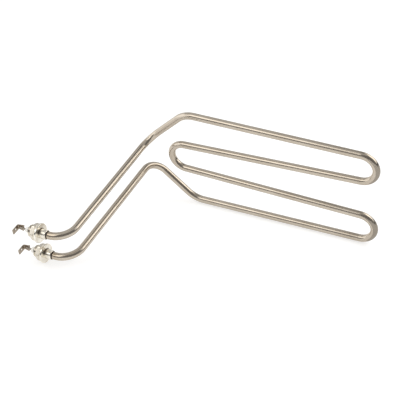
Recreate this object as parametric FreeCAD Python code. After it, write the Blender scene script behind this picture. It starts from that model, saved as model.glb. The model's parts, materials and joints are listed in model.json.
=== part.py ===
import FreeCAD, Part
import math
import os

# Tubular heating element: a bright stainless tube bent to four long runs, two legs and two
# terminals, filled with magnesia around a resistance coil. Each end has a threaded bushing,
# a sealing ring, a nut, a ceramic bead and a flat angled terminal.
#
# Design frame: +X along the runs, away from the terminals. -Y along the legs, from the loop
# to the terminals. +Z up the loop. The origin is the foot of the upper leg.
# At the end everything is leaned over to the way the element comes to rest, with +Z up.

# Sheath tube
tube_diameter = 8.5
tube_wall = 0.7

# Centre line: legs and jogs
leg_length = 187.0
leg_spacing = 30.0
lower_leg_shift = 1.5
upper_jog_reach = 52.0
upper_jog_rise = 47.0
lower_jog_reach = 51.5

# Centre line: how far from the legs the runs meet the return bends, and how far each bend sprang open
right_bends_at = 260.9
left_bend_at = 46.4
spring_back_deg = [2.6, 3.6, 2.4]

# Bend radii on the centre line
return_bend_radius = 17.5
jog_bend_radius = 30.0
foot_bend_radius = 21.0
terminal_bend_radius = 21.5

# Threaded bushing, lengths along its axis
mouth_setback = 23.5
braze_gap = 0.05
sleeve_diameter = 10.8
sleeve_length = 8.0
mouth_chamfer = 0.6
flange_diameter = 22.0
flange_thickness = 2.3
flange_chamfer = 0.35
thread_diameter = 14.0
thread_chamfer = 0.9
stem_length = 11.2
undercut_width = 1.2
undercut_depth = 0.9

# Braze fillet at the bushing's mouth
braze_length = 1.6

# Sealing ring and nut on the thread
ring_diameter = 19.4
ring_thickness = 1.8
ring_clearance = 0.2
nut_wall = 1.5
nut_thickness = 5.0
nut_chamfer_deg = 30.0
nut_turn_deg = 11.5
thread_clearance = 0.1

# Inside: resistance coil, connecting pins, magnesia, seal and bead
coil_diameter = 4.0
pin_diameter = 2.6
pin_reach_up_leg = 62.0
seal_thickness = 3.0
bead_diameter = 6.6
bead_depth = 6.0
bead_stand_out = 5.3
bead_edge_radius = 0.8
bead_pin_clearance = 0.12

# Flat terminal: a foot welded on the flat of the pin, and a blade folded square to it
tab_thickness = 0.8
tab_bead_gap = 2.2
foot_length = 9.4
foot_end_width = 8.9
foot_end_slant = 2.9
blade_width = 6.3
blade_length = 10.7
fold_inner_radius = 0.8
blade_corner_radius = 0.7
blade_hole_diameter = 2.4
blade_hole_from_fold = 5.5
pin_flat_depth = 1.2
pin_end_to_fold = 1.6

X = FreeCAD.Vector(1, 0, 0)
ORIGIN = FreeCAD.Vector(0, 0, 0)
tube_radius = tube_diameter / 2
bore_radius = tube_radius - tube_wall
pin_radius = pin_diameter / 2


def vector(x, y, z):
    return FreeCAD.Vector(x, y, z)


def heading(slope_deg):
    """Unit vector in the loop plane, rising from +X by the given angle."""
    slope = math.radians(slope_deg)
    return vector(math.cos(slope), 0, math.sin(slope))


def return_bend_corners(start, slope_deg, turn_deg):
    """Two corners that make one return bend of the given turn, and the point where it ends."""
    half = turn_deg / 2
    tangent = return_bend_radius * math.tan(math.radians(abs(half) / 2))
    first = start + heading(slope_deg) * tangent
    second = first + heading(slope_deg + half) * (2 * tangent)
    end = second + heading(slope_deg + turn_deg) * tangent
    return first, second, end


def loop_corners():
    """Corners of the loop plane from the upper jog to the lower jog, each with its bend radius."""
    slope = spring_back_deg[1] - spring_back_deg[0] - spring_back_deg[2]
    point = vector(upper_jog_reach, 0, upper_jog_rise)
    corners = [(point, jog_bend_radius)]
    side = -1
    for bend_at, opened in zip([right_bends_at, left_bend_at, right_bends_at], spring_back_deg):
        way = heading(slope)
        point = point + way * ((bend_at - point.x) / way.x)
        turn = side * (180 - opened)
        first, second, point = return_bend_corners(point, slope, turn)
        corners.append((first, return_bend_radius))
        corners.append((second, return_bend_radius))
        slope = slope + turn
        side = -side
    corners.append((vector(lower_leg_shift + lower_jog_reach, 0, point.z), jog_bend_radius))
    return corners


LOOP = loop_corners()
bottom_run_height = LOOP[-1][0].z
UPPER_FOOT = vector(0, 0, 0)
LOWER_FOOT = vector(lower_leg_shift, 0, -leg_spacing)
TO_TERMINAL = vector(0, -leg_length, 0)


def bent_line(corners):
    """Wire through the first and last point, with a tangent arc at each corner between them."""
    edges = []
    last = corners[0][0]
    for before, (corner, radius), after in zip(corners, corners[1:], corners[2:]):
        back = (before[0] - corner).normalize()
        ahead = (after[0] - corner).normalize()
        half = back.getAngle(ahead) / 2
        entry = corner + back * (radius / math.tan(half))
        leave = corner + ahead * (radius / math.tan(half))
        middle_way = (back + ahead).normalize()
        middle = corner + middle_way * (radius / math.sin(half) - radius)
        if last.distanceToPoint(entry) > 1e-6:
            edges.append(Part.LineSegment(last, entry).toShape())
        edges.append(Part.Arc(entry, middle, leave).toShape())
        last = leave
    edges.append(Part.LineSegment(last, corners[-1][0]).toShape())
    return Part.Wire(edges)


def swept_rod(line, radius):
    """Round rod of the given radius along a wire."""
    start = line.Edges[0]
    first = start.valueAt(start.FirstParameter)
    way = start.tangentAt(start.FirstParameter)
    circle = Part.Wire(Part.Circle(first, way, radius).toShape())
    return line.makePipeShell([circle], True, False)


def terminal_corners(foot, reach):
    """Terminal end at X = reach and the bend where the terminal meets the leg that ends at foot."""
    bend = foot + TO_TERMINAL
    end = vector(reach, bend.y, bend.z)
    return [(end, 0), (bend, terminal_bend_radius)]


def whole_line(reach):
    """Centre line from the upper terminal at X = reach round the loop to the lower one."""
    upper = terminal_corners(UPPER_FOOT, reach) + [(UPPER_FOOT, foot_bend_radius)]
    lower = terminal_corners(LOWER_FOOT, reach) + [(LOWER_FOOT, foot_bend_radius)]
    return bent_line(upper + LOOP + lower[::-1])


def turned(outline):
    """Solid of revolution about the X axis from points (distance along the axis, radius)."""
    points = [vector(along, 0, radius) for along, radius in outline]
    face = Part.Face(Part.makePolygon(points + points[:1]))
    return face.revolve(ORIGIN, X, 360)


def ring(start, length, inner_radius, outer_radius):
    """Plain ring on the X axis."""
    return turned([(start, inner_radius), (start + length, inner_radius),
                   (start + length, outer_radius), (start, outer_radius)])


# Places along a bushing's axis, outwards from its mouth
flange_front = sleeve_length
flange_back = flange_front + flange_thickness
stem_end = flange_back + stem_length
nut_start = flange_back + ring_thickness
bead_start = stem_end - bead_depth
seal_start = bead_start - seal_thickness
bead_end = stem_end + bead_stand_out
tab_start = bead_end + tab_bead_gap
fold_outside = tab_start + foot_length
fold_inside = fold_outside - tab_thickness
fold_start = fold_inside - fold_inner_radius
pin_end = fold_start - pin_end_to_fold

# Places across the pin, where the flat terminal lies on the pin's flat
pin_flat_side = pin_flat_depth - pin_radius
tab_back = pin_flat_side - tab_thickness
blade_tip = tab_back + blade_length


def bushing():
    bore = tube_radius + braze_gap
    sleeve = sleeve_diameter / 2
    flange = flange_diameter / 2
    thread = thread_diameter / 2
    neck = thread - undercut_depth
    return turned([
        (0, bore),
        (0, sleeve - mouth_chamfer),
        (mouth_chamfer, sleeve),
        (flange_front, sleeve),
        (flange_front, flange - flange_chamfer),
        (flange_front + flange_chamfer, flange),
        (flange_back - flange_chamfer, flange),
        (flange_back, flange - flange_chamfer),
        (flange_back, neck),
        (flange_back + undercut_width, neck),
        (flange_back + undercut_width + undercut_depth, thread),
        (stem_end - thread_chamfer, thread),
        (stem_end, thread - thread_chamfer),
        (stem_end, bore)])


def braze_ring():
    """Hollow fillet of braze between the tube and the bushing's mouth."""
    seat = tube_radius + braze_gap
    top = sleeve_diameter / 2 - mouth_chamfer
    bottom = vector(0, 0, seat)
    corner = vector(0, 0, top)
    toe = vector(-braze_length, 0, seat)
    sag = vector(-braze_length * 0.4, 0, seat + (top - seat) * 0.4)
    edges = [Part.LineSegment(bottom, corner).toShape(),
             Part.Arc(corner, sag, toe).toShape(),
             Part.LineSegment(toe, bottom).toShape()]
    return Part.Face(Part.Wire(edges)).revolve(ORIGIN, X, 360)


def sealing_ring():
    return ring(flange_back, ring_thickness, thread_diameter / 2 + ring_clearance, ring_diameter / 2)


def nut():
    """Hexagon nut, both faces chamfered, with a plain bore that clears the thread."""
    flat = thread_diameter / 2 + nut_wall
    corner = flat / math.cos(math.radians(30))
    points = []
    for index in range(7):
        angle = math.radians(60 * index + nut_turn_deg)
        points.append(vector(nut_start, corner * math.sin(angle), corner * math.cos(angle)))
    hexagon = Part.Face(Part.makePolygon(points)).extrude(X * nut_thickness)
    fall = (corner - flat) * math.tan(math.radians(nut_chamfer_deg))
    end = nut_start + nut_thickness
    bore = thread_diameter / 2 + thread_clearance
    rounded = turned([(nut_start, bore), (nut_start, flat), (nut_start + fall, corner),
                      (end - fall, corner), (end, flat), (end, bore)])
    return hexagon.common(rounded)


def end_seal():
    return ring(seal_start, seal_thickness, pin_radius, bore_radius)


def ceramic_bead():
    hole = pin_radius + bead_pin_clearance
    outer = bead_diameter / 2
    bead = ring(bead_start, bead_end - bead_start, hole, outer)
    rim = [edge for edge in bead.Edges
           if edge.BoundBox.XMin > bead_end - 1e-6 and edge.BoundBox.ZMax > outer - 1e-6]
    return bead.makeFillet(bead_edge_radius, rim)


def folded_strip(width):
    """Strip folded square: its foot lies along X on the pin's flat, and its blade reaches along +Y."""
    outline = [vector(tab_start, pin_flat_side, 0),
               vector(fold_inside, pin_flat_side, 0),
               vector(fold_inside, blade_tip, 0),
               vector(fold_outside, blade_tip, 0),
               vector(fold_outside, tab_back, 0),
               vector(tab_start, tab_back, 0)]
    strip = Part.Face(Part.makePolygon(outline + outline[:1])).extrude(vector(0, 0, width))
    strip.translate(vector(0, 0, -width / 2))
    folds = [(outline[1], fold_inner_radius), (outline[4], fold_inner_radius + tab_thickness)]
    for corner, radius in folds:
        fold = [edge for edge in strip.Edges if edge.CenterOfMass.distanceToPoint(corner) < 1e-6]
        strip = strip.makeFillet(radius, fold)
    return strip


def tab():
    """Flat terminal: its foot narrows from a slanted end to the blade, and the blade has a hole."""
    wide = foot_end_width / 2
    half = blade_width / 2
    spare = tab_thickness
    outline = [(tab_start, wide), (fold_start, half), (fold_outside, half),
               (fold_outside, -half), (fold_start, -half), (tab_start + foot_end_slant, -wide)]
    corners = [vector(along, tab_back - spare, up) for along, up in outline]
    face = Part.Face(Part.makePolygon(corners + corners[:1]))
    blank = face.extrude(vector(0, blade_length + 2 * spare, 0))
    plate = folded_strip(max(foot_end_width, blade_width)).common(blank)
    tip_edges = [edge for edge in plate.Edges
                 if abs(edge.tangentAt(edge.FirstParameter).x) > 0.9
                 and edge.CenterOfMass.y > blade_tip - 1e-6]
    plate = plate.makeFillet(blade_corner_radius, tip_edges)
    hole_place = vector(fold_inside, tab_back + blade_hole_from_fold, 0)
    return plate.cut(Part.makeCylinder(blade_hole_diameter / 2, tab_thickness, hole_place, X))


def at_terminal(shape, foot):
    """Move a piece from the bushing's own axis to a terminal, where +X turns to -X."""
    placed = shape.copy()
    placed.rotate(ORIGIN, vector(0, 0, 1), 180)
    placed.translate(vector(-mouth_setback, -leg_length, foot.z))
    return placed


def pin_top(foot):
    """Where the pin ends and the coil begins, up the leg from the terminal bend."""
    return foot + TO_TERMINAL + vector(0, pin_reach_up_leg, 0)


def cold_pin(foot):
    """Connecting pin through one terminal bend, flattened on one side where the terminal is welded."""
    corners = terminal_corners(foot, -mouth_setback - pin_end)
    pin = swept_rod(bent_line(corners + [(pin_top(foot), 0)]), pin_radius)
    flat_start = tab_start - tab_bead_gap / 2
    chip_corner = vector(flat_start, pin_flat_side - pin_diameter, -pin_diameter)
    chip = Part.makeBox(pin_end + pin_diameter - flat_start, pin_diameter, 2 * pin_diameter, chip_corner)
    return pin.cut(at_terminal(chip, foot))


def coil():
    """Outer envelope of the helix of resistance wire, between the two pins."""
    start = [(pin_top(UPPER_FOOT), 0), (UPPER_FOOT, foot_bend_radius)]
    finish = [(LOWER_FOOT, foot_bend_radius), (pin_top(LOWER_FOOT), 0)]
    return swept_rod(bent_line(start + LOOP + finish), coil_diameter / 2)


def sheath_tube():
    line = whole_line(-mouth_setback - stem_end)
    return swept_rod(line, tube_radius).cut(swept_rod(line, bore_radius))


def magnesia(inner_pieces):
    line = whole_line(-mouth_setback - seal_start)
    return swept_rod(line, bore_radius).cut(inner_pieces)


def resting_lean_deg():
    """Lean about X at which the lowest run and the lower flange touch one level floor."""
    rise = bottom_run_height - LOWER_FOOT.z
    drop = flange_diameter / 2 - tube_radius
    reach = math.hypot(rise, leg_length)
    return math.degrees(math.atan2(leg_length, rise) - math.acos(-drop / reach))


pieces = {"resistance_coil": coil()}
for name, foot in [("upper", UPPER_FOOT), ("lower", LOWER_FOOT)]:
    pieces["cold_pin_" + name] = cold_pin(foot)
    pieces["bushing_" + name] = at_terminal(bushing(), foot)
    pieces["braze_ring_" + name] = at_terminal(braze_ring(), foot)
    pieces["sealing_ring_" + name] = at_terminal(sealing_ring(), foot)
    pieces["nut_" + name] = at_terminal(nut(), foot)
    pieces["end_seal_" + name] = at_terminal(end_seal(), foot)
    pieces["ceramic_bead_" + name] = at_terminal(ceramic_bead(), foot)
    pieces["tab_terminal_" + name] = at_terminal(tab(), foot)
pieces["sheath_tube"] = sheath_tube()
pieces["magnesia_filling"] = magnesia(
    [pieces["resistance_coil"], pieces["cold_pin_upper"], pieces["cold_pin_lower"]])

# Lean the element to its rest, then put the origin under the middle of its box
for shape in pieces.values():
    shape.rotate(ORIGIN, X, resting_lean_deg())
box = Part.makeCompound(list(pieces.values())).optimalBoundingBox()
for shape in pieces.values():
    shape.translate(vector(-box.Center.x, -box.Center.y, -box.ZMin))

os.makedirs("parts", exist_ok=True)
for name, shape in pieces.items():
    shape.exportStep("parts/" + name + ".step")
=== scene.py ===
import bpy
import bmesh
import json
import math
from mathutils import Matrix, Vector, noise


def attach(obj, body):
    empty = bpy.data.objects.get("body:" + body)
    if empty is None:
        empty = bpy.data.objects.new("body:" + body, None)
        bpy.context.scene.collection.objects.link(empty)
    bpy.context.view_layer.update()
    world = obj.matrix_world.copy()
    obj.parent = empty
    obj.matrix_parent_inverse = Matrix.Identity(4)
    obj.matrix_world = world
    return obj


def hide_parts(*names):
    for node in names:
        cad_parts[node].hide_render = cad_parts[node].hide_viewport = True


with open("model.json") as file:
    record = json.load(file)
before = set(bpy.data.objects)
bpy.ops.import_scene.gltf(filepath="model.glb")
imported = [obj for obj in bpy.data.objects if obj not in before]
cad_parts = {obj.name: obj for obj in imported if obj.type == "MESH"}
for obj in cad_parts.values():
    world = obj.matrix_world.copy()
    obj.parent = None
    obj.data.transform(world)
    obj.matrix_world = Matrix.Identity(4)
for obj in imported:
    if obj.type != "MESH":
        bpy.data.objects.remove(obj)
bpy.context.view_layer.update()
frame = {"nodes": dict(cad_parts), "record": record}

# Sizes in millimetres, the same as in the part's source.
# Element frame: +X along the runs, away from the terminals, -Y along the legs to the terminals,
# +Z up the loop, with the origin at the foot of the upper leg.
TUBE_RADIUS = 4.25
BORE_RADIUS = 3.55
LEG_LENGTH = 187.0
LEG_SPACING = 30.0
LOWER_LEG_SHIFT = 1.5
UPPER_JOG = (52.0, 47.0)
LOWER_JOG_REACH = 51.5
RIGHT_BENDS_AT = 260.9
LEFT_BEND_AT = 46.4
SPRING_BACK_DEG = (2.6, 3.6, 2.4)
RETURN_BEND_RADIUS = 17.5
JOG_BEND_RADIUS = 30.0
FOOT_BEND_RADIUS = 21.0
TERMINAL_BEND_RADIUS = 21.5

# From the centre line of the leg to the mouth of the bushing
MOUTH_SETBACK = 23.5

# Places along a terminal's axis, outwards from the mouth of its bushing
FLANGE_FRONT = 8.0
FLANGE_BACK = 10.3
UNDERCUT_END = 11.5
NUT_START = 12.1
BEAD_START = 15.5
NUT_END = 17.1
STEM_END = 21.5
BEAD_END = 26.8

# Bushing: radii, then chamfers and rounding
BUSHING_BORE = 4.3
SLEEVE_RADIUS = 5.4
FLANGE_RADIUS = 11.0
MOUTH_CHAMFER = 0.6
FLANGE_CHAMFER = 0.35
BUSHING_ROUNDING = 0.12

# Thread, M14 x 1.5. It starts a little past the undercut. Its end chamfer falls a little less than
# 45 degrees, so that it ends just outside the roots
THREAD_SETBACK = 0.9
THREAD_RADIUS = 7.0
THREAD_PITCH = 1.5
THREAD_DEPTH = 0.88
THREAD_FLANK_DEG = 30.0
THREAD_CHAMFER = 0.9
THREAD_CHAMFER_FALL = 0.95
UNDERCUT_DEPTH = 0.9

# Braze fillet: the sagging side as (place along the axis, height over its seat). Its toe wanders
# along the tube in lumps, which are longer along the axis
BRAZE_GAP = 0.03
BRAZE_SAG = ((-1.6, 0.0), (-0.9, 0.12), (-0.35, 0.3))
BRAZE_ROUNDING = 0.05
BRAZE_EVEN_FROM = -0.1
BRAZE_WANDER = 0.264
BRAZE_LUMPS_PER_MM = 0.9
BRAZE_LUMP_STRETCH = 0.8

# Sealing washer, nut and bead: radii, then what breaks their edges
SEAT_GAP = 0.02
RING_BORE = 7.2
RING_RADIUS = 9.7
RING_ROUNDING = 0.35
NUT_BORE = 7.1
NUT_FLAT = 8.5
NUT_TURN_DEG = 11.5
NUT_SINK = 0.6
NUT_FACE_INSET = 0.2
NUT_CHAMFER_DEG = 30.0
NUT_CORNER_BREAK = 0.12
NUT_ROUNDING = 0.1
HEXAGON_SECTOR = math.radians(60)
BEAD_RADIUS = 3.3
BEAD_HOLE = 1.42
BEAD_ROUNDING = 0.8

# Flat terminal: a foot on the far side of the pin, and a blade folded square to it
TAB_THICKNESS = 0.8
TAB_ROUNDING = 0.09
TAB_START = 29.0
FOLD_START = 36.8
FOLD_INNER_RADIUS = 0.8
FOLD_LENGTH = 1.885
PIN_FLAT_SIDE = -0.1
FOOT_END_HALF_WIDTH = 4.45
FOOT_END_SLANT = 2.9
BLADE_HALF_WIDTH = 3.15
BLADE_TIP = 9.8
BLADE_CORNER_RADIUS = 0.7
BLADE_HOLE_RADIUS = 1.2
BLADE_HOLE_AT = 4.6
WELD_AT = 32.6

# How finely round shapes are divided
TUBE_SIDES = 32
BEND_STEP_DEG = 6.0
LEAST_BEND_STEPS = 3
ROUNDING_STEPS = 3
TURNED_STEPS = 96
THREAD_STEPS = 72
BEAD_STEPS = 64
BRAZE_STEPS = 48
NUT_SIDES = 96
FOLD_STEPS = 6
BLADE_CORNER_STEPS = 5
BLADE_HOLE_SIDES = 28

# Edges that turn more than this stay sharp, or are the rim of the flat terminal
SHARP_DEG = 32.0
RIM_DEG = 60.0

# How near counts as the same place when vertices merge, when a plane cuts and in one plane
MERGE_DISTANCE = 0.001
CUT_DISTANCE = 0.0001
PLANE_DISTANCE = 0.01

X_AXIS = Vector((1, 0, 0))


# Where the element stands

seats = {m["name"]: Vector(m["pos_m"]) * 1000 for m in frame["record"]["mounts"]}
rise = seats["stem_upper"] - seats["stem_lower"]
lean = Matrix.Rotation(math.atan2(-rise.y, rise.z), 4, "X")
upper_seat = Vector((-MOUTH_SETBACK - NUT_START, -LEG_LENGTH, 0))
shift = Matrix.Translation(seats["stem_upper"] - lean @ upper_seat)
to_row = Matrix.Scale(0.001, 4) @ shift @ lean


def terminal_place(foot_height):
    """From a terminal's own frame, +X outwards from the bushing's mouth, to the row frame."""
    mouth = Matrix.Translation((-MOUTH_SETBACK, -LEG_LENGTH, foot_height))
    return to_row @ mouth @ Matrix.Rotation(math.pi, 4, "Z")


TERMINALS = {"upper": terminal_place(0.0), "lower": terminal_place(-LEG_SPACING)}


# Materials

def hex_colour(text):
    """sRGB hex to linear RGBA."""
    def linear(pair):
        value = int(pair, 16) / 255
        return value / 12.92 if value <= 0.04045 else ((value + 0.055) / 1.055) ** 2.4
    return [linear(text[i:i + 2]) for i in (1, 3, 5)] + [1.0]


def add(tree, kind, inputs=None, **settings):
    """Add one node. Each input is a plain value or another node's output socket."""
    made = tree.nodes.new("ShaderNode" + kind)
    for name, value in settings.items():
        setattr(made, name, value)
    for socket, value in (inputs or {}).items():
        if isinstance(value, bpy.types.NodeSocket):
            tree.links.new(value, made.inputs[socket])
        else:
            made.inputs[socket].default_value = value
    return made


def material_tree(name):
    """A new material and its node tree, emptied."""
    material = bpy.data.materials.new(name)
    material.use_nodes = True
    material.node_tree.nodes.clear()
    return material, material.node_tree


def per_metre(millimetres):
    """Scale of a pattern on Object coordinates whose features are this large."""
    return 1000 / millimetres


def bright_annealed_tube(length):
    """304 stainless, drawn to size and annealed bright: warm grey and nearly a mirror, softened by
    draw lines along the tube. They are 0.1 mm wide on the real tube, and are drawn 0.5 mm wide so
    that they show. Brazing left a faint straw tint, which fades from 20 to 34 mm off each end."""
    material, tree = material_tree("bright_annealed_stainless")
    drawn = add(tree, "Attribute", attribute_name="drawn")
    lengthwise = add(tree, "Mapping", {"Vector": drawn.outputs["Vector"],
                                       "Scale": (1 / 0.5, 1 / 0.5, 1 / 60)})
    lines = add(tree, "TexNoise", {"Vector": lengthwise.outputs["Vector"], "Scale": 1.0,
                                   "Detail": 2.0})
    haze = add(tree, "TexNoise", {"Vector": drawn.outputs["Vector"], "Scale": 1 / 30,
                                  "Detail": 4.0})
    shade = add(tree, "MapRange", {"Value": haze.outputs["Fac"], "From Min": 0.35,
                                   "From Max": 0.65})
    steel = add(tree, "Mix", {"Factor": shade.outputs["Result"], "A": hex_colour("#C2B8AA"),
                              "B": hex_colour("#B8AD9E")}, data_type="RGBA")
    along = add(tree, "SeparateXYZ", {"Vector": drawn.outputs["Vector"]})
    from_middle = add(tree, "Math", {0: along.outputs["Z"], 1: length / 2}, operation="SUBTRACT")
    either_way = add(tree, "Math", {0: from_middle.outputs["Value"]}, operation="ABSOLUTE")
    heat = add(tree, "MapRange", {"Value": either_way.outputs["Value"],
                                  "From Min": length / 2 - 34, "From Max": length / 2 - 20,
                                  "To Max": 0.4})
    tinted = add(tree, "Mix", {"Factor": heat.outputs["Result"], "A": steel.outputs["Result"],
                               "B": hex_colour("#A78F6C")}, data_type="RGBA")
    gloss = add(tree, "MapRange", {"Value": lines.outputs["Fac"], "From Min": 0.3, "From Max": 0.7,
                                   "To Min": 0.15, "To Max": 0.23})
    grooves = add(tree, "Bump", {"Height": lines.outputs["Fac"], "Distance": 0.000006})
    shader = add(tree, "BsdfPrincipled", {"Base Color": tinted.outputs["Result"], "Metallic": 1.0,
                                          "Roughness": gloss.outputs["Result"],
                                          "Normal": grooves.outputs["Normal"]})
    add(tree, "OutputMaterial", {"Surface": shader.outputs["BSDF"]})
    return material


def turned_nickel():
    """Brass turned on a lathe and nickel plated: creamy and bright, with feed marks that run round
    the sleeve and in rings on the flange. They are 0.1 mm apart on the real one, and are drawn at
    0.35 mm. The sleeve is satin, and the flange was faced finer, so it mirrors what stands near it.
    Painted shade and a painted dark reflection brown the upper side of the corner between sleeve
    and flange, and of the thread's roots."""
    material, tree = material_tree("turned_nickel_plate")
    turned = add(tree, "Attribute", attribute_name="turned")
    feed = add(tree, "Mapping", {"Vector": turned.outputs["Vector"],
                                 "Scale": (1 / 0.35, 1 / 0.35, 0)})
    marks = add(tree, "TexNoise", {"Vector": feed.outputs["Vector"], "Scale": 1.0, "Detail": 2.0})
    place = add(tree, "TexCoord")
    haze = add(tree, "TexNoise", {"Vector": place.outputs["Object"], "Scale": per_metre(6),
                                  "Detail": 3.0})
    shade = add(tree, "MapRange", {"Value": haze.outputs["Fac"], "From Min": 0.35,
                                   "From Max": 0.65})
    plate = add(tree, "Mix", {"Factor": shade.outputs["Result"], "A": hex_colour("#F1EDE3"),
                              "B": hex_colour("#DFD8CA")}, data_type="RGBA")
    across = add(tree, "SeparateXYZ", {"Vector": turned.outputs["Vector"]})
    # Painted shade and dark reflection: the corner between sleeve and flange, and the thread's
    # roots, go brown on their upper side only
    near_flange = add(tree, "MapRange", {"Value": across.outputs["X"],
                                         "From Min": FLANGE_FRONT - 2.8,
                                         "From Max": FLANGE_FRONT - 0.4, "To Max": 0.85})
    low_down = add(tree, "MapRange", {"Value": across.outputs["Y"],
                                      "From Min": THREAD_RADIUS - 1.1,
                                      "From Max": THREAD_RADIUS - 0.1,
                                      "To Min": 1.0, "To Max": 0.0})
    corner_shade_mask = add(tree, "Math", {0: near_flange.outputs["Result"],
                                   1: low_down.outputs["Result"]}, operation="MULTIPLY")
    shaded_upper_side = add(tree, "MapRange", {"Value": across.outputs["Z"], "From Min": 0.8,
                                        "From Max": 3.4})
    brown = add(tree, "Math", {0: corner_shade_mask.outputs["Value"], 1: shaded_upper_side.outputs["Result"]},
                operation="MULTIPLY")
    colour = add(tree, "Mix", {"Factor": brown.outputs["Value"], "A": plate.outputs["Result"],
                               "B": hex_colour("#6F6050")}, data_type="RGBA")
    satin = add(tree, "MapRange", {"Value": across.outputs["Y"], "From Min": SLEEVE_RADIUS + 0.1,
                                   "From Max": SLEEVE_RADIUS + 0.5, "To Min": 0.24,
                                   "To Max": 0.15})
    unevenness = add(tree, "MapRange", {"Value": marks.outputs["Fac"], "From Min": 0.3,
                                        "From Max": 0.7, "To Min": -0.03, "To Max": 0.05})
    gloss = add(tree, "Math", {0: satin.outputs["Result"], 1: unevenness.outputs["Result"]},
                operation="ADD")
    rings = add(tree, "Bump", {"Height": marks.outputs["Fac"], "Distance": 0.000012})
    shader = add(tree, "BsdfPrincipled", {"Base Color": colour.outputs["Result"], "Metallic": 1.0,
                                          "Roughness": gloss.outputs["Value"],
                                          "Normal": rings.outputs["Normal"]})
    add(tree, "OutputMaterial", {"Surface": shader.outputs["BSDF"]})
    return material


def barrel_nickel():
    """Nut milled from drawn brass and plated in a barrel: pale and soft, dulled by knocks of about
    1.5 mm from the other nuts."""
    material, tree = material_tree("barrel_nickel_plate")
    place = add(tree, "TexCoord")
    knocks = add(tree, "TexNoise", {"Vector": place.outputs["Object"], "Scale": per_metre(1.5),
                                    "Detail": 4.0})
    shade = add(tree, "MapRange", {"Value": knocks.outputs["Fac"], "From Min": 0.4,
                                   "From Max": 0.7})
    colour = add(tree, "Mix", {"Factor": shade.outputs["Result"], "A": hex_colour("#E2DCD0"),
                               "B": hex_colour("#CFC6B6")}, data_type="RGBA")
    gloss = add(tree, "MapRange", {"Value": knocks.outputs["Fac"], "From Min": 0.3, "From Max": 0.7,
                                   "To Min": 0.2, "To Max": 0.32})
    dents = add(tree, "Bump", {"Height": knocks.outputs["Fac"], "Distance": 0.00002})
    shader = add(tree, "BsdfPrincipled", {"Base Color": colour.outputs["Result"], "Metallic": 1.0,
                                          "Roughness": gloss.outputs["Result"],
                                          "Normal": dents.outputs["Normal"]})
    add(tree, "OutputMaterial", {"Surface": shader.outputs["BSDF"]})
    return material


def flux_darkened_braze():
    """Silver braze under burnt flux: nearly black, uneven and crusted in lumps of 0.7 mm, with a
    dull sheen where the metal comes through."""
    material, tree = material_tree("flux_darkened_braze")
    place = add(tree, "TexCoord")
    crust = add(tree, "TexNoise", {"Vector": place.outputs["Object"], "Scale": per_metre(0.7),
                                   "Detail": 5.0})
    bare = add(tree, "MapRange", {"Value": crust.outputs["Fac"], "From Min": 0.35, "From Max": 0.7})
    colour = add(tree, "Mix", {"Factor": bare.outputs["Result"], "A": hex_colour("#241D18"),
                               "B": hex_colour("#5C4C3E")}, data_type="RGBA")
    gloss = add(tree, "MapRange", {"Value": crust.outputs["Fac"], "From Min": 0.3, "From Max": 0.7,
                                   "To Min": 0.7, "To Max": 0.45})
    lumps = add(tree, "Bump", {"Height": crust.outputs["Fac"], "Distance": 0.00008})
    shader = add(tree, "BsdfPrincipled", {"Base Color": colour.outputs["Result"], "Metallic": 0.5,
                                          "Roughness": gloss.outputs["Result"],
                                          "Normal": lumps.outputs["Normal"]})
    add(tree, "OutputMaterial", {"Surface": shader.outputs["BSDF"]})
    return material


def pressed_fibre():
    """Fibre washer, punched from pressed sheet: matt cream with short fibres, 0.45 mm wide as drawn
    and three times as long."""
    material, tree = material_tree("pressed_fibre")
    place = add(tree, "TexCoord")
    felted = add(tree, "Mapping", {"Vector": place.outputs["Object"], "Scale": (1, 0.33, 1)})
    fibres = add(tree, "TexNoise", {"Vector": felted.outputs["Vector"], "Scale": per_metre(0.45),
                                    "Detail": 4.0})
    shade = add(tree, "MapRange", {"Value": fibres.outputs["Fac"], "From Min": 0.35,
                                   "From Max": 0.65})
    colour = add(tree, "Mix", {"Factor": shade.outputs["Result"], "A": hex_colour("#EFE8D8"),
                               "B": hex_colour("#DBD0BB")}, data_type="RGBA")
    nap = add(tree, "Bump", {"Height": fibres.outputs["Fac"], "Distance": 0.00003})
    shader = add(tree, "BsdfPrincipled", {"Base Color": colour.outputs["Result"], "Roughness": 0.72,
                                          "Normal": nap.outputs["Normal"]})
    add(tree, "OutputMaterial", {"Surface": shader.outputs["BSDF"]})
    return material


def fired_steatite():
    """Steatite, pressed and fired without glaze: clean white, half matt, with a dry grain. The
    grain is drawn at 0.35 mm, because the real one of 0.02 mm is too fine to show."""
    material, tree = material_tree("fired_steatite")
    place = add(tree, "TexCoord")
    grain = add(tree, "TexNoise", {"Vector": place.outputs["Object"], "Scale": per_metre(0.35),
                                   "Detail": 3.0})
    shade = add(tree, "MapRange", {"Value": grain.outputs["Fac"], "From Min": 0.4, "From Max": 0.7})
    colour = add(tree, "Mix", {"Factor": shade.outputs["Result"], "A": hex_colour("#FCFAF4"),
                               "B": hex_colour("#F3EFE6")}, data_type="RGBA")
    dryness = add(tree, "MapRange", {"Value": grain.outputs["Fac"], "From Min": 0.3,
                                     "From Max": 0.7, "To Min": 0.42, "To Max": 0.58})
    pores = add(tree, "Bump", {"Height": grain.outputs["Fac"], "Distance": 0.00001})
    shader = add(tree, "BsdfPrincipled", {"Base Color": colour.outputs["Result"],
                                          "Roughness": dryness.outputs["Result"],
                                          "Normal": pores.outputs["Normal"]})
    add(tree, "OutputMaterial", {"Surface": shader.outputs["BSDF"]})
    return material


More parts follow.
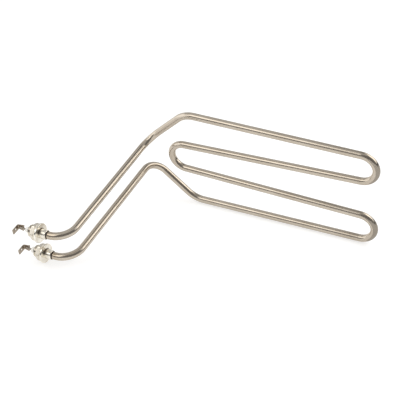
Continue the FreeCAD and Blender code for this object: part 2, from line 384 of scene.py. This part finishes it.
def heat_tinted_strip():
    """Rolled steel strip, stamped, folded and spot welded: grey on the blade, and tinted brown
    round the weld, which fades from 3.4 to 6.2 mm off its middle. A dark ring runs round it at
    1.7 mm. Rolling leaves lines of 0.4 mm along the strip."""
    material, tree = material_tree("heat_tinted_strip")
    stamped = add(tree, "Attribute", attribute_name="stamped")
    rolled = add(tree, "Mapping", {"Vector": stamped.outputs["Vector"],
                                   "Scale": (1 / 8, 1 / 0.4, 1 / 0.4)})
    lines = add(tree, "TexNoise", {"Vector": rolled.outputs["Vector"], "Scale": 1.0, "Detail": 2.0})
    mottle = add(tree, "TexNoise", {"Vector": stamped.outputs["Vector"], "Scale": 1 / 2.4,
                                    "Detail": 5.0})
    shade = add(tree, "MapRange", {"Value": mottle.outputs["Fac"], "From Min": 0.38,
                                   "From Max": 0.66})
    grey = add(tree, "Mix", {"Factor": shade.outputs["Result"], "A": hex_colour("#B1A698"),
                             "B": hex_colour("#948878")}, data_type="RGBA")
    brown = add(tree, "Mix", {"Factor": shade.outputs["Result"], "A": hex_colour("#A09180"),
                              "B": hex_colour("#6E6052")}, data_type="RGBA")
    weld_distance = add(tree, "VectorMath", {0: stamped.outputs["Vector"],
                                             1: (WELD_AT, PIN_FLAT_SIDE, 0)}, operation="DISTANCE")
    heat = add(tree, "MapRange", {"Value": weld_distance.outputs["Value"], "From Min": 3.4,
                                  "From Max": 6.2, "To Min": 1.0, "To Max": 0.0})
    tinted = add(tree, "Mix", {"Factor": heat.outputs["Result"], "A": grey.outputs["Result"],
                               "B": brown.outputs["Result"]}, data_type="RGBA")
    ring_offset = add(tree, "Math", {0: weld_distance.outputs["Value"], 1: 1.7},
                      operation="SUBTRACT")
    ring_reach = add(tree, "Math", {0: ring_offset.outputs["Value"]}, operation="ABSOLUTE")
    ring = add(tree, "MapRange", {"Value": ring_reach.outputs["Value"], "From Max": 0.7,
                                  "To Min": 0.75, "To Max": 0.0})
    colour = add(tree, "Mix", {"Factor": ring.outputs["Result"], "A": tinted.outputs["Result"],
                               "B": hex_colour("#3B3644")}, data_type="RGBA")
    gloss = add(tree, "MapRange", {"Value": lines.outputs["Fac"], "From Min": 0.3, "From Max": 0.7,
                                   "To Min": 0.3, "To Max": 0.46})
    scratches = add(tree, "Bump", {"Height": lines.outputs["Fac"], "Distance": 0.00001})
    shader = add(tree, "BsdfPrincipled", {"Base Color": colour.outputs["Result"], "Metallic": 1.0,
                                          "Roughness": gloss.outputs["Result"],
                                          "Normal": scratches.outputs["Normal"]})
    add(tree, "OutputMaterial", {"Surface": shader.outputs["BSDF"]})
    return material


def drawn_pin_steel():
    """Cold drawn steel pin, unplated: mid grey, with die marks 0.6 mm wide along it."""
    material, tree = material_tree("drawn_pin_steel")
    place = add(tree, "TexCoord")
    lengthwise = add(tree, "Mapping", {"Vector": place.outputs["Object"], "Scale": (0.05, 1, 1)})
    marks = add(tree, "TexNoise", {"Vector": lengthwise.outputs["Vector"], "Scale": per_metre(0.6),
                                   "Detail": 2.0})
    colour = add(tree, "Mix", {"Factor": marks.outputs["Fac"], "A": hex_colour("#A39A8E"),
                               "B": hex_colour("#857C71")}, data_type="RGBA")
    gloss = add(tree, "MapRange", {"Value": marks.outputs["Fac"], "From Min": 0.3, "From Max": 0.7,
                                   "To Min": 0.3, "To Max": 0.45})
    shader = add(tree, "BsdfPrincipled", {"Base Color": colour.outputs["Result"], "Metallic": 1.0,
                                          "Roughness": gloss.outputs["Result"]})
    add(tree, "OutputMaterial", {"Surface": shader.outputs["BSDF"]})
    return material


def oxidised_resistance_wire():
    """Nickel-chrome wire, oxidised by its first heat: dark green-grey and dull. Its turns, 1.1 mm
    apart, only ripple the surface, because the solid stands for the whole winding."""
    material, tree = material_tree("oxidised_resistance_wire")
    place = add(tree, "TexCoord")
    turns = add(tree, "TexWave", {"Vector": place.outputs["Object"], "Scale": per_metre(1.1) / 20,
                                  "Distortion": 0.4}, wave_type="BANDS", bands_direction="DIAGONAL")
    colour = add(tree, "Mix", {"Factor": turns.outputs["Fac"], "A": hex_colour("#3F3E39"),
                               "B": hex_colour("#6B675E")}, data_type="RGBA")
    ripple = add(tree, "Bump", {"Height": turns.outputs["Fac"], "Distance": 0.0001})
    shader = add(tree, "BsdfPrincipled", {"Base Color": colour.outputs["Result"], "Metallic": 1.0,
                                          "Roughness": 0.5, "Normal": ripple.outputs["Normal"]})
    add(tree, "OutputMaterial", {"Surface": shader.outputs["BSDF"]})
    return material


def compacted_magnesia():
    """Magnesia powder, packed hard when the tube is rolled down: chalk white and matt, with grains
    of 0.5 mm."""
    material, tree = material_tree("compacted_magnesia")
    place = add(tree, "TexCoord")
    grains = add(tree, "TexNoise", {"Vector": place.outputs["Object"], "Scale": per_metre(0.5),
                                    "Detail": 4.0})
    colour = add(tree, "Mix", {"Factor": grains.outputs["Fac"], "A": hex_colour("#F2EFE8"),
                               "B": hex_colour("#DEDAD0")}, data_type="RGBA")
    grit = add(tree, "Bump", {"Height": grains.outputs["Fac"], "Distance": 0.00004})
    shader = add(tree, "BsdfPrincipled", {"Base Color": colour.outputs["Result"], "Roughness": 0.95,
                                          "Normal": grit.outputs["Normal"]})
    add(tree, "OutputMaterial", {"Surface": shader.outputs["BSDF"]})
    return material


def cast_resin():
    """Silicone resin, poured in and cured: honey grey and half glossy, with clouds of 1.7 mm."""
    material, tree = material_tree("cast_resin")
    place = add(tree, "TexCoord")
    clouds = add(tree, "TexNoise", {"Vector": place.outputs["Object"], "Scale": per_metre(1.7),
                                    "Detail": 3.0})
    colour = add(tree, "Mix", {"Factor": clouds.outputs["Fac"], "A": hex_colour("#CFC6B0"),
                               "B": hex_colour("#B9AD92")}, data_type="RGBA")
    shader = add(tree, "BsdfPrincipled", {"Base Color": colour.outputs["Result"],
                                          "Roughness": 0.35})
    add(tree, "OutputMaterial", {"Surface": shader.outputs["BSDF"]})
    return material


# Shaping

def corner_points(foot_height, foot_shift):
    """The terminal's end, the terminal bend and the foot bend of one leg, each with its radius."""
    end = Vector((-MOUTH_SETBACK - STEM_END, -LEG_LENGTH, foot_height))
    bend = Vector((foot_shift, -LEG_LENGTH, foot_height))
    foot = Vector((foot_shift, 0, foot_height))
    return [(end, 0), (bend, TERMINAL_BEND_RADIUS), (foot, FOOT_BEND_RADIUS)]


def heading(slope_deg):
    """Unit vector in the loop plane, rising from +X by the given angle."""
    slope = math.radians(slope_deg)
    return Vector((math.cos(slope), 0, math.sin(slope)))


def loop_points():
    """Corners of the loop from the upper jog to the lower jog, each with its bend radius."""
    slope = SPRING_BACK_DEG[1] - SPRING_BACK_DEG[0] - SPRING_BACK_DEG[2]
    point = Vector((UPPER_JOG[0], 0, UPPER_JOG[1]))
    points = [(point, JOG_BEND_RADIUS)]
    side = -1
    for bend_at, opened in zip((RIGHT_BENDS_AT, LEFT_BEND_AT, RIGHT_BENDS_AT), SPRING_BACK_DEG):
        way = heading(slope)
        point = point + way * ((bend_at - point.x) / way.x)
        turn = side * (180 - opened)
        tangent = RETURN_BEND_RADIUS * math.tan(math.radians(180 - opened) / 4)
        first = point + way * tangent
        second = first + heading(slope + turn / 2) * (2 * tangent)
        point = second + heading(slope + turn) * tangent
        points += [(first, RETURN_BEND_RADIUS), (second, RETURN_BEND_RADIUS)]
        slope += turn
        side = -side
    points.append((Vector((LOWER_LEG_SHIFT + LOWER_JOG_REACH, 0, point.z)), JOG_BEND_RADIUS))
    return points


def finished_piece(name, bm, place, material, replaced):
    """Turn a bmesh in millimetres into a piece in the row frame that replaces its CAD nodes."""
    bmesh.ops.recalc_face_normals(bm, faces=bm.faces)
    bm.transform(place)
    mesh = bpy.data.meshes.new(name)
    bm.to_mesh(mesh)
    bm.free()
    mesh.shade_smooth()
    mesh.set_sharp_from_angle(angle=math.radians(SHARP_DEG))
    mesh.materials.append(material)
    piece = bpy.data.objects.new(name, mesh)
    bpy.context.scene.collection.objects.link(piece)
    weights = piece.modifiers.new("flats_stay_flat", "WEIGHTED_NORMAL")
    weights.keep_sharp = True
    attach(piece, "root")
    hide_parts(*replaced)


def new_end(made):
    """The new vertices in what an operator made, and the edges between them."""
    verts = [item for item in made if isinstance(item, bmesh.types.BMVert)]
    fresh = set(verts)
    edges = [item for item in made
             if isinstance(item, bmesh.types.BMEdge) and set(item.verts) <= fresh]
    return verts, edges


def bent_tube():
    """The sheath: a ring of two circles, fed straight and turned round each bend, as on a tube
    bender. Each vertex keeps its place on the straight tube in the attribute "drawn", in
    millimetres. Given with its length."""
    bm = bmesh.new()
    drawn = bm.verts.layers.float_vector.new("drawn")
    for radius in (TUBE_RADIUS, BORE_RADIUS):
        bmesh.ops.create_circle(bm, segments=TUBE_SIDES, radius=radius)
    for vert in bm.verts:
        vert[drawn] = vert.co
    end_edges = bm.edges[:]
    bmesh.ops.bridge_loops(bm, edges=end_edges)
    upper = corner_points(0.0, 0.0)
    lower = corner_points(-LEG_SPACING, LOWER_LEG_SHIFT)
    corners = upper + loop_points() + lower[::-1]
    bmesh.ops.rotate(bm, verts=bm.verts, matrix=Matrix.Rotation(math.pi / 2, 3, "Y"))
    bmesh.ops.translate(bm, verts=bm.verts, vec=corners[0][0])
    along = 0.0
    here = corners[0][0]

    def marked_end(made):
        """Edges of the new end, whose vertices are given their distance along the tube."""
        verts, edges = new_end(made)
        for vert in verts:
            vert[drawn].z = along
        return edges

    def feed(edges, way):
        """Draw the open end out straight."""
        made = bmesh.ops.extrude_edge_only(bm, edges=edges)["geom"]
        bmesh.ops.translate(bm, verts=new_end(made)[0], vec=way)
        return marked_end(made)

    for before, (corner, radius), after in zip(corners, corners[1:], corners[2:]):
        back = (before[0] - corner).normalized()
        ahead = (after[0] - corner).normalized()
        half = back.angle(ahead) / 2
        entry = corner + back * (radius / math.tan(half))
        if (entry - here).length > CUT_DISTANCE:
            along += (entry - here).length
            end_edges = feed(end_edges, entry - here)
        centre = corner + (back + ahead).normalized() * (radius / math.sin(half))
        turn = math.pi - 2 * half
        steps = max(LEAST_BEND_STEPS, round(math.degrees(turn) / BEND_STEP_DEG))
        for _ in range(steps):
            along += radius * turn / steps
            verts = list(dict.fromkeys(vert for edge in end_edges for vert in edge.verts))
            made = bmesh.ops.spin(bm, geom=verts + end_edges, cent=centre,
                                  axis=(-back).cross(ahead).normalized(), angle=turn / steps,
                                  steps=1)
            end_edges = marked_end(made["geom_last"])
        here = corner + ahead * (radius / math.tan(half))
    along += (corners[-1][0] - here).length
    end_edges = feed(end_edges, corners[-1][0] - here)
    bmesh.ops.bridge_loops(bm, edges=end_edges)
    return bm, along


def turned_outline(outline, rounding, closed=True, steps=TURNED_STEPS):
    """Spin an outline of (distance along the axis, radius) round the X axis. Its corners are
    rounded first."""
    bm = bmesh.new()
    corners = [bm.verts.new((along, 0, radius)) for along, radius in outline]
    for pair in zip(corners, corners[1:]):
        bm.edges.new(pair)
    if closed:
        bm.edges.new((corners[-1], corners[0]))
    inner = corners if closed else corners[1:-1]
    bmesh.ops.bevel(bm, geom=inner, affect="VERTICES", offset=rounding, offset_type="OFFSET",
                    segments=ROUNDING_STEPS, profile=0.5, material=-1, clamp_overlap=True)
    bmesh.ops.spin(bm, geom=bm.verts[:] + bm.edges[:], axis=X_AXIS, angle=2 * math.pi, steps=steps,
                   use_merge=True)
    return bm


def threaded_surface(start, end):
    """Outside of the thread between two planes: its profile is spun with one pitch of feed. Two
    turns before the start and one after the end are cut away by the planes."""
    bm = bmesh.new()
    flank = THREAD_DEPTH * math.tan(math.radians(THREAD_FLANK_DEG))
    crest = THREAD_PITCH / 8
    root = THREAD_RADIUS - THREAD_DEPTH
    turns = math.ceil((end - start) / THREAD_PITCH) + 3
    points = []
    for turn in range(turns):
        at = start - 2 * THREAD_PITCH + turn * THREAD_PITCH
        points += [(at, THREAD_RADIUS), (at + crest, THREAD_RADIUS), (at + crest + flank, root),
                   (at + THREAD_PITCH - flank, root)]
    verts = [bm.verts.new((along, 0, radius)) for along, radius in points]
    for pair in zip(verts, verts[1:]):
        bm.edges.new(pair)
    bmesh.ops.spin(bm, geom=bm.verts[:] + bm.edges[:], axis=X_AXIS, angle=2 * math.pi,
                   dvec=(THREAD_PITCH / THREAD_STEPS, 0, 0), steps=THREAD_STEPS)
    bmesh.ops.remove_doubles(bm, verts=bm.verts, dist=MERGE_DISTANCE)
    for plane, way in ((start, -1), (end, 1)):
        bmesh.ops.bisect_plane(bm, geom=bm.verts[:] + bm.edges[:] + bm.faces[:], dist=CUT_DISTANCE,
                               plane_co=(plane, 0, 0), plane_no=(way, 0, 0), clear_outer=True)
    return bm


def open_rings(bm, along):
    """Boundary edges that lie in the plane at this distance along the axis."""
    return [edge for edge in bm.edges if edge.is_boundary
            and all(abs(vert.co.x - along) < PLANE_DISTANCE for vert in edge.verts)]


def bushing():
    """Sleeve, flange and neck turned in one outline, with a real thread bridged on. The attribute
    "turned" holds the place along the axis, the radius and the height, in millimetres."""
    thread_start = UNDERCUT_END + THREAD_SETBACK
    bm = threaded_surface(thread_start, STEM_END)
    chamfer_start = STEM_END - THREAD_CHAMFER
    for vert in bm.verts:
        reach = math.hypot(vert.co.y, vert.co.z)
        allowed = THREAD_RADIUS - max(0.0, vert.co.x - chamfer_start) * THREAD_CHAMFER_FALL
        if reach > allowed:
            vert.co.y *= allowed / reach
            vert.co.z *= allowed / reach
    neck = THREAD_RADIUS - UNDERCUT_DEPTH
    flange_face = FLANGE_RADIUS - FLANGE_CHAMFER
    body = turned_outline([
        (STEM_END, BUSHING_BORE), (0.0, BUSHING_BORE), (0.0, SLEEVE_RADIUS - MOUTH_CHAMFER),
        (MOUTH_CHAMFER, SLEEVE_RADIUS), (FLANGE_FRONT, SLEEVE_RADIUS), (FLANGE_FRONT, flange_face),
        (FLANGE_FRONT + FLANGE_CHAMFER, FLANGE_RADIUS),
        (FLANGE_BACK - FLANGE_CHAMFER, FLANGE_RADIUS), (FLANGE_BACK, flange_face),
        (FLANGE_BACK, neck), (thread_start, neck)],
        BUSHING_ROUNDING, closed=False, steps=THREAD_STEPS)
    joined = bpy.data.meshes.new("bushing_body")
    body.to_mesh(joined)
    body.free()
    bm.from_mesh(joined)
    bpy.data.meshes.remove(joined)
    for along in (thread_start, STEM_END):
        bmesh.ops.bridge_loops(bm, edges=open_rings(bm, along))
    turned = bm.verts.layers.float_vector.new("turned")
    for vert in bm.verts:
        vert[turned] = (vert.co.x, math.hypot(vert.co.y, vert.co.z), vert.co.z)
    return bm


def braze_fillet():
    """Uneven fillet between the tube and the bushing's mouth."""
    seat = TUBE_RADIUS + BRAZE_GAP
    top = SLEEVE_RADIUS - MOUTH_CHAMFER
    sagging = [(along, seat + height) for along, height in BRAZE_SAG]
    bm = turned_outline(sagging + [(-SEAT_GAP, top), (-SEAT_GAP, seat)], BRAZE_ROUNDING,
                        steps=BRAZE_STEPS)
    for vert in bm.verts:
        if vert.co.x < BRAZE_EVEN_FROM:
            around = Vector((vert.co.x * BRAZE_LUMP_STRETCH, vert.co.y, vert.co.z))
            vert.co.x += BRAZE_WANDER * noise.noise(around * BRAZE_LUMPS_PER_MM)
    return bm


def sealing_washer():
    """Flat ring with worn edges, just clear of the flange and the nut."""
    start = FLANGE_BACK + SEAT_GAP
    end = NUT_START - SEAT_GAP
    return turned_outline([(start, RING_BORE), (start, RING_RADIUS), (end, RING_RADIUS),
                           (end, RING_BORE)], RING_ROUNDING)


def hexagon_reach(angle):
    """Distance from the axis to the outline of the hexagon, with its corners just broken."""
    half = HEXAGON_SECTOR / 2
    from_flat = (angle + half) % HEXAGON_SECTOR - half
    corner = NUT_FLAT / math.cos(half) - NUT_CORNER_BREAK
    return min(NUT_FLAT / math.cos(from_flat), corner)


def hexagon_nut():
    """Rings of one bored blank, drawn out to the hexagon between two 30 degree chamfers."""
    bm = bmesh.new()
    bmesh.ops.create_circle(bm, segments=NUT_SIDES, radius=NUT_BORE)
    bmesh.ops.rotate(bm, verts=bm.verts, matrix=Matrix.Rotation(math.pi / 2, 3, "Y"))
    first = bm.edges[:]
    bmesh.ops.translate(bm, verts=bm.verts, vec=(NUT_START + NUT_SINK, 0, 0))
    face = NUT_FLAT - NUT_FACE_INSET
    sink = NUT_BORE + NUT_SINK
    # Place along the axis, radius, and whether the ring lies on the hexagon
    rings = [(NUT_START, sink, False), (NUT_START, face, False), (NUT_START, None, True),
             (NUT_END, None, True), (NUT_END, face, False), (NUT_END, sink, False),
             (NUT_END - NUT_SINK, NUT_BORE, False)]
    first_corner = math.radians(NUT_TURN_DEG)
    edges = first
    hexagon_edges = []
    for along, radius, hexagonal in rings:
        verts, edges = new_end(bmesh.ops.extrude_edge_only(bm, edges=edges)["geom"])
        for vert in verts:
            angle = math.atan2(vert.co.y, vert.co.z) - first_corner - HEXAGON_SECTOR / 2
            reach = hexagon_reach(angle) if hexagonal else radius
            fall = (reach - face) * math.tan(math.radians(NUT_CHAMFER_DEG)) if hexagonal else 0.0
            inward = 1 if along == NUT_START else -1
            scale = reach / math.hypot(vert.co.y, vert.co.z)
            vert.co = (along + inward * fall, vert.co.y * scale, vert.co.z * scale)
        if hexagonal:
            hexagon_edges += edges
    bmesh.ops.bridge_loops(bm, edges=edges + first)
    bmesh.ops.bevel(bm, geom=hexagon_edges, affect="EDGES", offset=NUT_ROUNDING,
                    offset_type="OFFSET", segments=2, profile=0.5, material=-1, clamp_overlap=True)
    return bm


def bead():
    """Steatite bead round the pin, with well rounded ends."""
    return turned_outline([(BEAD_START, BEAD_HOLE), (BEAD_START, BEAD_RADIUS),
                           (BEAD_END, BEAD_RADIUS), (BEAD_END, BEAD_HOLE)], BEAD_ROUNDING,
                          steps=BEAD_STEPS)


def flat_terminal():
    """Stamped from strip: outline with rounded tips and a punched hole, its thickness, then the
    fold. Each vertex keeps its place on the flat strip in the attribute "stamped", in
    millimetres."""
    bm = bmesh.new()
    centre = Vector((FOLD_START, PIN_FLAT_SIDE + FOLD_INNER_RADIUS, 0))
    blade_start = FOLD_START + FOLD_LENGTH
    tip = blade_start + BLADE_TIP - centre.y
    outline = [(TAB_START, FOOT_END_HALF_WIDTH), (FOLD_START, BLADE_HALF_WIDTH),
               (tip, BLADE_HALF_WIDTH), (tip, -BLADE_HALF_WIDTH), (FOLD_START, -BLADE_HALF_WIDTH),
               (TAB_START + FOOT_END_SLANT, -FOOT_END_HALF_WIDTH)]
    corners = [bm.verts.new((along, PIN_FLAT_SIDE, up)) for along, up in outline]
    for pair in zip(corners, corners[1:] + corners[:1]):
        bm.edges.new(pair)
    bmesh.ops.bevel(bm, geom=corners[2:4], affect="VERTICES", offset=BLADE_CORNER_RADIUS,
                    offset_type="OFFSET", segments=BLADE_CORNER_STEPS, profile=0.5, material=-1)
    hole = Vector((blade_start + BLADE_HOLE_AT - centre.y, PIN_FLAT_SIDE, 0))
    placed = Matrix.Translation(hole) @ Matrix.Rotation(math.pi / 2, 4, "X")
    bmesh.ops.create_circle(bm, segments=BLADE_HOLE_SIDES, radius=BLADE_HOLE_RADIUS, matrix=placed)
    bmesh.ops.triangle_fill(bm, use_beauty=True, edges=bm.edges[:])
    for step in range(FOLD_STEPS + 1):
        score = (FOLD_START + FOLD_LENGTH * step / FOLD_STEPS, 0, 0)
        bmesh.ops.bisect_plane(bm, geom=bm.verts[:] + bm.edges[:] + bm.faces[:],
                               dist=CUT_DISTANCE, plane_co=score, plane_no=X_AXIS)
    made = bmesh.ops.extrude_face_region(bm, geom=bm.faces[:])["geom"]
    bmesh.ops.translate(bm, verts=new_end(made)[0], vec=(0, -TAB_THICKNESS, 0))
    bmesh.ops.recalc_face_normals(bm, faces=bm.faces)
    rim = [edge for edge in bm.edges
           if len(edge.link_faces) == 2 and edge.calc_face_angle() > math.radians(RIM_DEG)
           and abs(edge.verts[0].co.y - edge.verts[1].co.y) < PLANE_DISTANCE]
    bmesh.ops.bevel(bm, geom=rim, affect="EDGES", offset=TAB_ROUNDING, offset_type="OFFSET",
                    segments=2, profile=0.5, material=-1, clamp_overlap=True)
    stamped = bm.verts.layers.float_vector.new("stamped")
    for vert in bm.verts:
        vert[stamped] = vert.co
        past_fold = vert.co.x - FOLD_START
        if past_fold > 0:
            turn = math.radians(90) * min(1.0, past_fold / FOLD_LENGTH)
            ahead = max(0.0, past_fold - FOLD_LENGTH)
            arm = Vector((ahead, vert.co.y - centre.y, vert.co.z))
            vert.co = centre + Matrix.Rotation(turn, 3, "Z") @ arm
    return bm


# Pieces

tube_mesh, tube_length = bent_tube()
steel = bright_annealed_tube(tube_length)
finished_piece("tube", tube_mesh, to_row, steel, ["sheath_tube"])

nickel = turned_nickel()
nut_nickel = barrel_nickel()
braze = flux_darkened_braze()
fibre = pressed_fibre()
steatite = fired_steatite()
strip = heat_tinted_strip()
pin_steel = drawn_pin_steel()
wire = oxidised_resistance_wire()
magnesia = compacted_magnesia()
resin = cast_resin()

for end, place in TERMINALS.items():
    finished_piece("threaded_bushing_" + end, bushing(), place, nickel,
                   ["bushing_" + end])
    finished_piece("braze_fillet_" + end, braze_fillet(), place, braze,
                   ["braze_ring_" + end])
    finished_piece("sealing_washer_" + end, sealing_washer(), place, fibre,
                   ["sealing_ring_" + end])
    finished_piece("hexagon_nut_" + end, hexagon_nut(), place, nut_nickel,
                   ["nut_" + end])
    finished_piece("steatite_bead_" + end, bead(), place, steatite,
                   ["ceramic_bead_" + end])
    finished_piece("flat_terminal_" + end, flat_terminal(), place, strip,
                   ["tab_terminal_" + end])


def dress(node_name, material):
    """Give a CAD node that stays its own material."""
    slots = frame["nodes"][node_name].material_slots
    for slot in slots:
        slot.material = material
    if not slots:
        frame["nodes"][node_name].data.materials.append(material)


for end in TERMINALS:
    dress("cold_pin_" + end, pin_steel)
    dress("end_seal_" + end, resin)
dress("resistance_coil", wire)
dress("magnesia_filling", magnesia)


# Floor, light and camera, in metres. The table's top lies just under the part, with the grey card
# between them

TABLE_RADIUS = 4.0
TABLE_SIDES = 64
TABLE_TOP = -0.0002
GREY_CARD_HALF_SIDE = 0.7
GREY_CARD_PLACE = (0.86, 0.2, -0.0001)
SCREEN_DISTANCE = 2.2
SCREEN_STEPS_UP = 8
SCREEN_STEPS_ROUND = 40


def stage_mesh(name, bm, material):
    """A piece of the studio, not of the part."""
    mesh = bpy.data.meshes.new(name)
    bm.to_mesh(mesh)
    bm.free()
    mesh.materials.append(material)
    piece = bpy.data.objects.new(name, mesh)
    bpy.context.scene.collection.objects.link(piece)
    return piece


def seen_directly(tree):
    """1 for rays from the camera, in reflections and through glass, else 0."""
    path = add(tree, "LightPath")
    mirrored = add(tree, "Math", {0: path.outputs["Is Camera Ray"],
                                  1: path.outputs["Is Glossy Ray"]}, operation="MAXIMUM")
    return add(tree, "Math", {0: mirrored.outputs["Value"], 1: path.outputs["Is Transmission Ray"]},
               operation="MAXIMUM").outputs["Value"]


def white_table():
    """White card: the shadow stays, and what is lit goes to the white of the page."""
    material, tree = material_tree("white_card")
    seen = seen_directly(tree)
    shown = add(tree, "Mix", {"Factor": seen, "A": hex_colour("#F2F2F2"),
                              "B": hex_colour("#C8C8C8")}, data_type="RGBA")
    card = add(tree, "BsdfDiffuse", {"Color": shown.outputs["Result"]})
    page_level = add(tree, "Math", {0: seen, 1: 0.56}, operation="MULTIPLY")
    page = add(tree, "Emission", {"Strength": page_level.outputs["Value"]})
    both = add(tree, "AddShader", {0: card.outputs["BSDF"], 1: page.outputs["Emission"]})
    add(tree, "OutputMaterial", {"Surface": both.outputs["Shader"]})
    return material


def seen_in_metal_only(name, bm, level):
    """A card of one even grey that gives the bright metal something to mirror and nothing else."""
    material, tree = material_tree(name)
    even_grey = add(tree, "Emission", {"Strength": level})
    add(tree, "OutputMaterial", {"Surface": even_grey.outputs["Emission"]})
    card = stage_mesh(name, bm, material)
    card.visible_camera = False
    card.visible_diffuse = False
    card.visible_shadow = False


def studio_screen(name, level, azimuths, elevations):
    """Part of an evenly grey dome that stands round the table and shows only in the metal.
    Azimuths are anticlockwise from +X, and all angles are in degrees as seen from the table."""
    bm = bmesh.new()
    low, high = [math.radians(angle) for angle in elevations]
    start, end = [math.radians(angle) for angle in azimuths]
    foot = bm.verts.new((SCREEN_DISTANCE * math.cos(low), 0, SCREEN_DISTANCE * math.sin(low)))
    bmesh.ops.spin(bm, geom=[foot], axis=(0, -1, 0), angle=high - low, steps=SCREEN_STEPS_UP)
    bmesh.ops.rotate(bm, verts=bm.verts, matrix=Matrix.Rotation(start, 3, "Z"))
    bmesh.ops.spin(bm, geom=bm.verts[:] + bm.edges[:], axis=(0, 0, 1), angle=end - start,
                   steps=SCREEN_STEPS_ROUND)
    seen_in_metal_only(name, bm, level)


def soft_box(name, width, height, place, target, power):
    """Lamp behind a rectangular diffuser that faces a point."""
    data = bpy.data.lights.new(name, "AREA")
    data.shape = "RECTANGLE"
    data.size = width
    data.size_y = height
    data.energy = power
    data.color = hex_colour("#FFFBF4")[:3]
    box = bpy.data.objects.new(name, data)
    box.location = place
    box.rotation_euler = (Vector(place) - Vector(target)).to_track_quat("Z", "Y").to_euler()
    box.visible_camera = False
    bpy.context.scene.collection.objects.link(box)


table = bmesh.new()
bmesh.ops.create_circle(table, cap_ends=True, segments=TABLE_SIDES, radius=TABLE_RADIUS)
bmesh.ops.translate(table, verts=table.verts, vec=(0, 0, TABLE_TOP))
stage_mesh("table", table, white_table())

studio_screen("grey_ceiling", 0.68, (112, 420), (62, 89))
studio_screen("dark_ceiling_behind", 0.18, (60, 112), (52, 89))
studio_screen("grey_screen_behind", 0.6, (60, 150), (12, 52))
studio_screen("grey_screen_upper_left", 0.7, (150, 225), (40, 62))
studio_screen("pale_screen_left", 1.1, (150, 172), (2, 40))
studio_screen("white_diffuser_left", 1.6, (172, 228), (2, 40))
studio_screen("dark_skirting_right", 0.1, (8, 62), (0, 14))
studio_screen("pale_screen_right", 1.0, (8, 60), (14, 62))
studio_screen("dark_skirting_in_front", 0.08, (232, 262), (2, 19))
studio_screen("grey_screen_in_front", 0.6, (232, 262), (19, 30))
studio_screen("dark_screen_in_front", 0.24, (262, 368), (0, 62))

grey_card = bmesh.new()
bmesh.ops.create_grid(grey_card, x_segments=1, y_segments=1, size=GREY_CARD_HALF_SIDE)
bmesh.ops.translate(grey_card, verts=grey_card.verts, vec=GREY_CARD_PLACE)
seen_in_metal_only("grey_card_on_table", grey_card, 0.64)

soft_box("soft_box_front", 0.72, 0.72, (-0.5, -0.69, 1.0), (0, 0.05, 0.08), 1.75)
soft_box("soft_box_right", 0.48, 0.36, (0.36, 0.35, 0.4), (-0.04, 0, 0.05), 0.72)

world = bpy.data.worlds.new("studio")
bpy.context.scene.world = world
world.use_nodes = True
room = world.node_tree
room.nodes.clear()
room_level = add(room, "MapRange", {"Value": seen_directly(room), "To Min": 0.85, "To Max": 1.0})
air = add(room, "Background", {"Color": (1, 1, 1, 1), "Strength": room_level.outputs["Result"]})
add(room, "OutputWorld", {"Surface": air.outputs["Background"]})

# The camera stands where a fit of the centre line to the photograph puts it. It looks at a point
# given in millimetres from the foot of the upper leg, along the row's axes.
LOOK_AT = (97.085, -60.0, -28.34)
CAMERA_DISTANCE = 1.0748

camera_data = bpy.data.cameras.new("camera")
camera_data.sensor_width = 36.0
camera_data.lens = 87.06
camera = bpy.data.objects.new("camera", camera_data)
bpy.context.scene.collection.objects.link(camera)
look_at = shift @ Vector(LOOK_AT) * 0.001
azimuth = math.radians(26.31)
elevation = math.radians(29.79)
out = Vector((math.sin(azimuth) * math.cos(elevation), -math.cos(azimuth) * math.cos(elevation),
              math.sin(elevation)))
camera.location = look_at + out * CAMERA_DISTANCE
camera.rotation_euler = (-out).to_track_quat("-Z", "Y").to_euler()
bpy.context.scene.camera = camera

bpy.context.scene.view_settings.view_transform = "Standard"


# Bring the scene up to date
bpy.context.view_layer.update()
